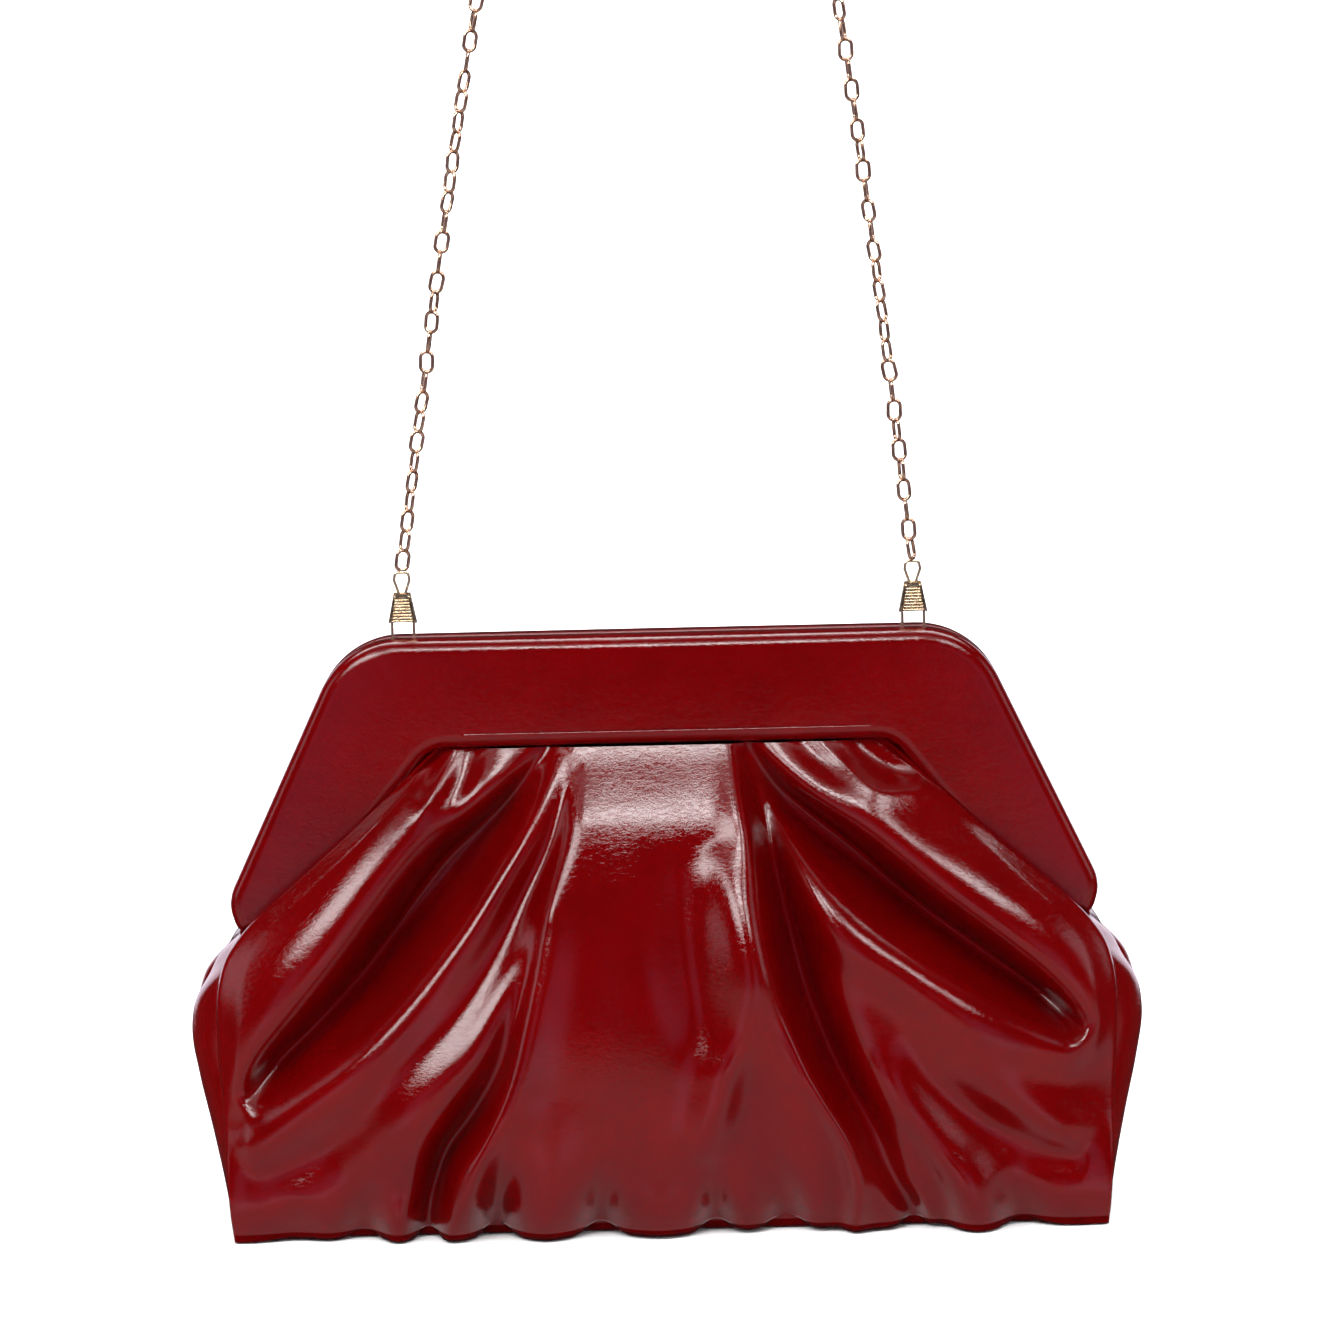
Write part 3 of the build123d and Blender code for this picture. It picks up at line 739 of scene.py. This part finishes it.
def panel_field(strokes):
    """The gathered wall as grids of x, y and z, and how far its side edges turn back."""
    u = np.linspace(-1.0, 1.0, PANEL_COLUMNS)
    v = np.linspace(0.0, 1.0, PANEL_ROWS)
    grid_u, grid_v = np.meshgrid(u, v)
    z = PANEL_TOP * (1 - grid_v)
    x = grid_u * curve_at(z, EDGE_Z, EDGE_X)
    depth = curve_at(z, DEPTH_Z, DEPTH_Y)
    share = edge_share(z)
    side = share + (1 - share) * np.power(np.clip(1 - np.abs(grid_u) ** 3.0, 0.0, 1.0), 0.6)
    folds = np.zeros(x.shape)
    crisp = np.zeros(x.shape)
    for kind, lean, line in strokes:
        if kind == "sharp":
            crisp += stroke_height(x, z, kind, lean, line)
        else:
            folds += stroke_height(x, z, kind, lean, line)
    folds = (blur(folds, FOLD_BLUR) + blur(crisp, CREASE_BLUR)) * (0.35 + 0.65 * smoothstep(143.0, 120.0, z))
    fade = smoothstep(0.0, 0.06, 1 - np.abs(grid_u))
    y = depth * side + folds * (0.25 + 0.75 * fade)
    deepest = DEEPEST_SHARE * depth
    y = deepest + DEEPEST_SOFT * np.log1p(np.exp(np.clip((y - deepest) / DEEPEST_SOFT, -30.0, 30.0)))
    # the cloth lies over the frame's arms at each side
    arm = ARM_TOP_X + (ARM_TOP_Z - z) * ARM_SLOPE
    over = smoothstep(84.0, 94.0, z) * smoothstep(arm - 9.0, arm - 3.0, np.abs(x))
    y = np.maximum(y, OVER_FRAME * over * smoothstep(141.0, 126.0, z))
    # valleys lift the hem a little off the ground
    lift = np.clip(-folds[-1] * 0.3, -0.4, 1.8) + 0.5 + 1.6 * np.clip(1 - (u / 0.9) ** 2, 0.0, 1.0)
    z = z + lift[None, :] * smoothstep(22.0, 0.0, z)
    back = np.where(z > 89.0, FRAME_FACE, depth * (share - 0.03))
    return x, y, z, back


def make_panel(name, facing, field, node):
    """A gathered panel, with its side edges turned back and its hem rolled under."""
    x, y, z, back = field
    middle = np.stack([x, y, z], -1)
    turned = {-1: [], 1: []}
    for share in (0.2, 0.45, 0.75, 1.0):
        inward = 1.6 * share**2
        for side, column in ((-1, 0), (1, -1)):
            depth = y[:, column] + (back[:, column] - y[:, column]) * share
            turned[side].append(np.stack([x[:, column] - side * inward, depth, z[:, column]], -1)[:, None])
    sheet = np.concatenate(turned[-1][::-1] + [middle] + turned[1], 1)
    hem = [sheet]
    for number in range(1, HEM_STEPS + 1):
        angle = math.pi / 2 * number / HEM_STEPS
        roll = sheet[-1].copy()
        roll[:, 1] -= HEM_ROLL_IN * math.sin(angle) + (HEM_TAIL if number == HEM_STEPS else 0.0)
        roll[:, 2] = np.maximum(0.15, roll[:, 2] - HEM_ROLL_DOWN * (1 - math.cos(angle)))
        hem.append(roll[None])
    sheet = np.concatenate(hem, 0)
    sheet[..., 1] *= facing
    count_rows, count_columns = sheet.shape[:2]
    piece = mesh_from(name, sheet.reshape(-1, 3) * MM, grid_faces(count_rows, count_columns))
    piece.data.materials.append(PATENT)
    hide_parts(node)
    return piece


FRONT_FIELD = panel_field(FRONT_STROKES)
front_panel = make_panel("front_gathered_panel", -1.0, FRONT_FIELD, "bag_front_panel")
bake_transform(front_panel)
BACK_STROKES = [
    (kind, 2.0 - lean, [(-0.94 * x + 3.0, z, height * 0.9, width * 1.08) for x, z, height, width in line])
    for kind, lean, line in FRONT_STROKES
]
BACK_FIELD = panel_field(BACK_STROKES)
back_panel = make_panel("back_gathered_panel", 1.0, BACK_FIELD, "bag_back_panel")
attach(back_panel, "root")

# ------------------------------------------------------------------ gussets and lining

GUSSET_TOP = 89.0
GUSSET_BOTTOM = 0.8
GUSSET_ROWS = 90
GUSSET_COLUMNS = 60
GUSSET_THICK = 0.9
CREASE_DEPTH = 4.5
POCKET_COLUMNS = 70
POCKET_HALF_WIDTH = 60.0
POCKET_Y = 12.0
POCKET_SLACK = 1.6
BASE_HALF_X = 123.0
BASE_HALF_Y = 27.6
BASE_CORNER = 10.0
CORNER_STEPS = 8


def make_gusset(label, side):
    """The soft side: it bows out between the front and back seams and tucks in under the frame's foot."""
    points = []
    for row in range(GUSSET_ROWS):
        z = GUSSET_BOTTOM + GUSSET_TOP * (1 - row / (GUSSET_ROWS - 1))
        edge = float(curve_at(z, EDGE_Z, EDGE_X)) - 1.4
        widest = float(curve_at(z, SIDE_Z, SIDE_X))
        depth = float(curve_at(z, DEPTH_Z, DEPTH_Y) * (edge_share(z) - 0.01))
        swell = max(0.0, widest - edge)
        for column in range(GUSSET_COLUMNS):
            u = -1 + 2 * column / (GUSSET_COLUMNS - 1)
            bow = swell * (1 - abs(u) ** 3.0)
            crease = CREASE_DEPTH * math.exp(-(((u - 0.12 * math.sin(0.06 * z)) / 0.16) ** 2))
            pucker = 0.7 * math.sin(0.34 * z + 5 * u) * math.exp(-(((z - 82) / 14) ** 2))
            x = side * (edge + bow - crease * float(smoothstep(4.0, 55.0, z)) * (swell / 8.0) + pucker)
            points.append((x * MM, u * depth * MM, z * MM))
    piece = mesh_from(f"gusset_{label}", points, grid_faces(GUSSET_ROWS, GUSSET_COLUMNS))
    solid = piece.modifiers.new("thick", "SOLIDIFY")
    solid.thickness = GUSSET_THICK * MM
    solid.offset = -side
    apply_modifiers(piece)
    piece.data.materials.clear()
    piece.data.materials.append(PATENT)
    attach(piece, "root")
    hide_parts(f"side_gusset_{label}")
    return piece


def make_lining(name, facing, field):
    """The lining's wall, which follows a gathered panel a little way inside it."""
    x, y, z = field[:3]
    inner = y - 3.2
    for axis in (0, 1):
        for shift in (-4, -2, 2, 4):
            inner = np.minimum(inner, np.roll(y, shift, axis) - 2.6)
    inner = np.minimum(blur(inner, 3.0), inner + 0.6)
    ripple = 0.8 * np.sin(0.16 * x + 0.03 * z) * smoothstep(6.0, 40.0, z)
    inner = np.maximum(1.4, np.minimum(0.84 * blur(inner, 2.0), y - 2.4) + np.minimum(ripple, 0.0))
    keep_rows = slice(3, -6, 4)
    keep_columns = slice(14, -14, 4)
    points = np.stack([0.975 * x, facing * inner, z], -1)[keep_rows, keep_columns]
    piece = mesh_from(name, points.reshape(-1, 3) * MM, grid_faces(*points.shape[:2]))
    piece.data.materials.append(LINING)
    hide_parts("lining")
    return piece


def make_pocket():
    """A slip pocket hung against the back lining, with a turned top edge."""
    points = []
    rows = [(76.0, 1.2), (77.0, 0.9), (77.2, 0.0), (76.6, -0.8)]
    rows += [(75.0 - 2.0 * step, -1.0) for step in range(28)]
    for z, out in rows:
        for column in range(POCKET_COLUMNS):
            u = -1 + 2 * column / (POCKET_COLUMNS - 1)
            slack = POCKET_SLACK * (1 - u * u) * float(smoothstep(20.0, 76.0, z))
            y = POCKET_Y - slack + out + 0.5 * math.sin(7 * u + 0.05 * z)
            points.append((POCKET_HALF_WIDTH * u * MM, y * MM, z * MM))
    piece = mesh_from("slip_pocket", points, grid_faces(len(rows), POCKET_COLUMNS))
    piece.data.materials.append(LINING)
    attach(piece, "root")
    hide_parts("lining_pocket")
    return piece


def make_base():
    """The base cloth, a shallow tray with soft corners, just inside the hems."""
    rows = []
    for inset, z in ((0.0, 4.4), (0.2, 1.2), (1.2, 0.35), (3.0, 0.1), (14.0, 0.1), (26.0, 0.1)):
        half_x = BASE_HALF_X - inset
        half_y = BASE_HALF_Y - inset
        corner = max(BASE_CORNER - inset, 1.5)
        ring = []
        for quadrant in range(4):
            middle_x = (half_x - corner) * (1 if quadrant in (0, 3) else -1)
            middle_y = (half_y - corner) * (1 if quadrant in (0, 1) else -1)
            for step in range(CORNER_STEPS + 1):
                angle = math.pi / 2 * (quadrant + step / CORNER_STEPS)
                ring.append((middle_x + corner * math.cos(angle), middle_y + corner * math.sin(angle), z))
        rows.append(ring)
    points = [(x * MM, y * MM, z * MM) for ring in rows for x, y, z in ring]
    faces = grid_faces(len(rows), len(rows[0]), wrap=True)
    first = (len(rows) - 1) * len(rows[0])
    faces.append(tuple(range(first, first + len(rows[0]))))
    piece = mesh_from("base_cloth", points, faces)
    piece.data.materials.append(PATENT)
    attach(piece, "root")
    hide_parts("base_panel")
    return piece


GUSSETS = [make_gusset(gusset_label, gusset_side) for gusset_label, gusset_side in SIDES.items()]
lining_front = make_lining("lining_front", -1.0, FRONT_FIELD)
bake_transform(lining_front)
lining_back = make_lining("lining_back", 1.0, BACK_FIELD)
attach(lining_back, "root")
slip_pocket = make_pocket()
base_cloth = make_base()

# ------------------------------------------------------------------ floor and light

FLOOR_REACH = 1.8
COVE = 1.3
COVE_STEPS = 12
BACKDROP_TOP = 5.0
SPOKES = 72


def make_floor():
    """A round pale floor that curves up into a backdrop on every side."""
    profile = [(FLOOR_REACH * share / 3, 0.0) for share in range(4)]
    for step in range(1, COVE_STEPS + 1):
        angle = math.pi / 2 * step / COVE_STEPS
        profile.append((FLOOR_REACH + COVE * math.sin(angle), COVE * (1 - math.cos(angle))))
    profile.append((FLOOR_REACH + COVE, BACKDROP_TOP))
    points = [
        (reach * math.cos(math.tau * spoke / SPOKES), reach * math.sin(math.tau * spoke / SPOKES), z)
        for reach, z in profile
        for spoke in range(SPOKES)
    ]
    sheet = mesh_from("floor", points, grid_faces(len(profile), SPOKES, wrap=True))
    material, nodes, links, shader = new_material("floor_white")
    grain = noise(nodes, links, object_coords(nodes), 30.0)
    pale = ramp(nodes, links, grain, [(0.2, (0.90, 0.90, 0.90)), (0.8, (0.92, 0.92, 0.92))])
    links.new(pale, shader.inputs["Base Color"])
    shader.inputs["Roughness"].default_value = 0.9
    shader.inputs["Specular IOR Level"].default_value = 0.1
    sheet.data.materials.append(material)
    # the floor_bounce light gives the bag a soft reflection of the floor instead
    sheet.visible_glossy = False


def area_light(name, place, target, size, power, colour=(1, 1, 1)):
    data = bpy.data.lights.new(name, "AREA")
    data.shape = "RECTANGLE"
    data.size = size[0]
    data.size_y = size[1]
    data.energy = power
    data.color = colour
    light = bpy.data.objects.new(name, data)
    bpy.context.collection.objects.link(light)
    light.location = place
    light.rotation_euler = (Vector(target) - Vector(place)).to_track_quat("-Z", "Y").to_euler()
    light.visible_camera = False


def make_world():
    world = bpy.data.worlds.new("studio")
    bpy.context.scene.world = world
    world.use_nodes = True
    background = world.node_tree.nodes["Background"]
    background.inputs["Color"].default_value = (0.93, 0.93, 0.96, 1.0)
    background.inputs["Strength"].default_value = 0.03


make_floor()
make_world()
bpy.context.scene.view_settings.view_transform = "Standard"
BAG_MIDDLE = (0.0, 0.0, 0.1)
area_light("key_middle", (-0.02, -0.80, 1.16), BAG_MIDDLE, (0.50, 0.26), 8.5)
area_light("key_left", (-0.58, -0.78, 0.86), BAG_MIDDLE, (0.55, 0.42), 10.0)
area_light("key_right", (0.60, -0.70, 1.00), BAG_MIDDLE, (0.36, 0.30), 4.5)
area_light("card_left", (-0.60, -1.35, 0.05), (-0.05, 0.0, 0.1), (0.75, 0.9), 0.75, (0.75, 0.62, 1.0))
area_light("card_right", (0.66, -1.35, 0.05), (0.05, 0.0, 0.1), (0.75, 0.9), 0.85, (0.75, 0.62, 1.0))
area_light("side_left", (-1.25, -0.15, 0.50), BAG_MIDDLE, (0.4, 0.7), 1.2, (0.93, 0.92, 1.0))
area_light("side_right", (1.25, -0.15, 0.50), BAG_MIDDLE, (0.4, 0.7), 1.2, (0.93, 0.92, 1.0))
area_light("rim_left", (-0.97, 1.55, 0.28), BAG_MIDDLE, (0.9, 0.9), 5.0, (0.90, 0.86, 1.0))
area_light("rim_right", (0.97, 1.55, 0.28), BAG_MIDDLE, (0.9, 0.9), 5.0, (0.90, 0.86, 1.0))
area_light("floor_bounce", (0.0, -0.285, 0.003), (0.0, -0.285, 1.0), (1.5, 0.53), 1.35, (1.0, 0.96, 0.98))
area_light("back_wash", (0.0, 1.0, 2.4), (0.0, 2.8, 0.5), (3.6, 1.4), 150.0)
area_light("front_wash", (0.0, -1.2, 2.9), (0.0, -3.0, 0.8), (3.0, 1.0), 16.0)
area_light("floor_wash", (0.0, 0.6, 1.9), (0.0, 0.5, 0.0), (2.4, 1.0), 7.0)
